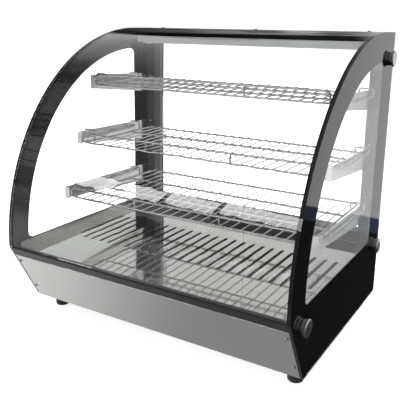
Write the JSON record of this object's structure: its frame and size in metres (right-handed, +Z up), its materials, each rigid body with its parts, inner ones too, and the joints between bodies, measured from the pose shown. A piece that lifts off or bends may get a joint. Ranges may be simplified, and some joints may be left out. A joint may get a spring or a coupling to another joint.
{
  "type": "heated display case",
  "caption": "Countertop heated display case: curved front glass between printed side glasses, slotted deck, lift-off wire shelves on tapered arms, sliding rear doors.",
  "frame": {"origin": "middle of the case's bounding box in plan, on the surface that the feet stand on", "axes": "+X to the right of a customer who faces the curved glass, +Y towards the rear doors, +Z up"},
  "size_m": [0.726, 0.568, 0.686],
  "materials": {
    "side_glass": "clear toughened glass, polished edge, black print on the inner face",
    "curved_glass": "clear bent toughened glass",
    "door_glass": "clear toughened glass",
    "black_seal": "black silicone",
    "satin_steel": "satin stainless, fine grain along X",
    "pan_steel": "mill finish stainless",
    "mirror_steel": "polished stainless with light scratches",
    "arm_steel": "satin stainless",
    "black_paint": "black powder coat, semi-gloss",
    "beam_paint": "grey satin paint",
    "black_track": "black anodised",
    "chrome_wire": "bright plated wire",
    "screw_steel": "bright stainless",
    "opal_tube": "opal tube",
    "grey_plastic": "grey moulded plastic",
    "pull_acrylic": "clear moulded acrylic",
    "nylon": "black nylon",
    "cap_steel": "turned stainless, circular grain",
    "zinc_steel": "zinc plated steel",
    "foot_rubber": "black rubber, fluted",
    "knob_plastic": "black moulded plastic",
    "copper_bulb": "copper",
    "switch_plastic": "black moulded plastic",
    "rocker_red": "red translucent plastic",
    "rocker_black": "black glossy plastic",
    "bezel_chrome": "chromed bezel, white dial",
    "lens_glass": "clear lens",
    "pointer_black": "black paint",
    "amber_lens": "amber translucent lens",
    "gland_plastic": "black nylon",
    "element_steel": "heat-tinted steel sheath",
    "shield_steel": "aluminised sheet"
  },
  "bodies": {
    "cabinet": {"base_pan": "pan_steel", "cable_gland": "gland_plastic", "cable_gland_nut": "gland_plastic", "curved_front_glass": "curved_glass", "deck_plate": "mirror_steel", "deck_side_angles": "mirror_steel", "door_track_sill": "black_track", "door_track_top": "black_track", "element_brackets": "shield_steel", "feet": "foot_rubber", "foot_screws": "zinc_steel", "front_panel": "satin_steel", "front_panel_screws": "screw_steel", "front_seal_strip": "black_seal", "glass_fixing_bushes": "nylon", "glass_fixing_caps": "cap_steel", "glass_fixing_studs": "zinc_steel", "glass_gaskets": "black_seal", "heat_shield": "shield_steel", "heating_elements": "element_steel", "led_tube": "opal_tube", "led_tube_holders": "grey_plastic", "light_housing": "beam_paint", "light_switch_housing": "switch_plastic", "pan_head_screws": "screw_steel", "pilot_lamp": "amber_lens", "post_ties": "arm_steel", "power_switch_housing": "switch_plastic", "rear_control_panel": "satin_steel", "rear_post_left": "black_paint", "rear_post_right": "black_paint", "rear_top_beam": "beam_paint", "shelf_brackets_lower": "arm_steel", "shelf_brackets_middle": "arm_steel", "shelf_brackets_upper": "arm_steel", "side_glass_left": "side_glass", "side_glass_right": "side_glass", "terminal_block": "grey_plastic", "thermometer_case": "bezel_chrome", "thermometer_lens": "lens_glass", "thermostat_body": "grey_plastic", "thermostat_bulb": "copper_bulb", "thermostat_bulb_clip": "arm_steel", "top_panel": "black_paint", "top_panel_screws": "screw_steel"},
    "left_door": {"door_left_glass": "door_glass", "door_left_pull": "pull_acrylic", "door_left_glides": "nylon"},
    "right_door": {"door_right_glass": "door_glass", "door_right_pull": "pull_acrylic", "door_right_glides": "nylon"},
    "upper_shelf": {"shelf_upper": "chrome_wire"},
    "middle_shelf": {"shelf_middle": "chrome_wire"},
    "lower_shelf": {"shelf_lower": "chrome_wire"},
    "knob": {"thermostat_knob": "knob_plastic", "thermostat_spindle": "zinc_steel"},
    "power_button": {"power_rocker": "rocker_red"},
    "light_button": {"light_rocker": "rocker_black"},
    "dial_pointer": {"thermometer_pointer": "pointer_black"}
  },
  "joints": [
    {"name": "left_door_slide", "type": "slide", "parent": "cabinet", "child": "left_door", "axis": [1, 0, 0], "range_m": [0, 0.28]},
    {"name": "right_door_slide", "type": "slide", "parent": "cabinet", "child": "right_door", "axis": [-1, 0, 0], "range_m": [0, 0.28]},
    {"name": "upper_shelf_lift", "type": "slide", "parent": "cabinet", "child": "upper_shelf", "axis": [0, 0, 1], "range_m": [0, 0.025]},
    {"name": "middle_shelf_lift", "type": "slide", "parent": "cabinet", "child": "middle_shelf", "axis": [0, 0, 1], "range_m": [0, 0.025]},
    {"name": "lower_shelf_lift", "type": "slide", "parent": "cabinet", "child": "lower_shelf", "axis": [0, 0, 1], "range_m": [0, 0.025]},
    {"name": "thermostat_turn", "type": "hinge", "parent": "cabinet", "child": "knob", "pos_m": [0.09, 0.262, 0.105], "axis": [0, -1, 0], "range_deg": [0, 300]},
    {"name": "power_rock", "type": "hinge", "parent": "cabinet", "child": "power_button", "pos_m": [-0.06, 0.256, 0.105], "axis": [-1, 0, 0], "range_deg": [0, 16]},
    {"name": "light_rock", "type": "hinge", "parent": "cabinet", "child": "light_button", "pos_m": [-0.02, 0.256, 0.105], "axis": [-1, 0, 0], "range_deg": [0, 16]},
    {"name": "pointer_turn", "type": "hinge", "parent": "cabinet", "child": "dial_pointer", "pos_m": [0.185, 0.264, 0.105], "axis": [0, -1, 0], "range_deg": [0, 270]}
  ]
}
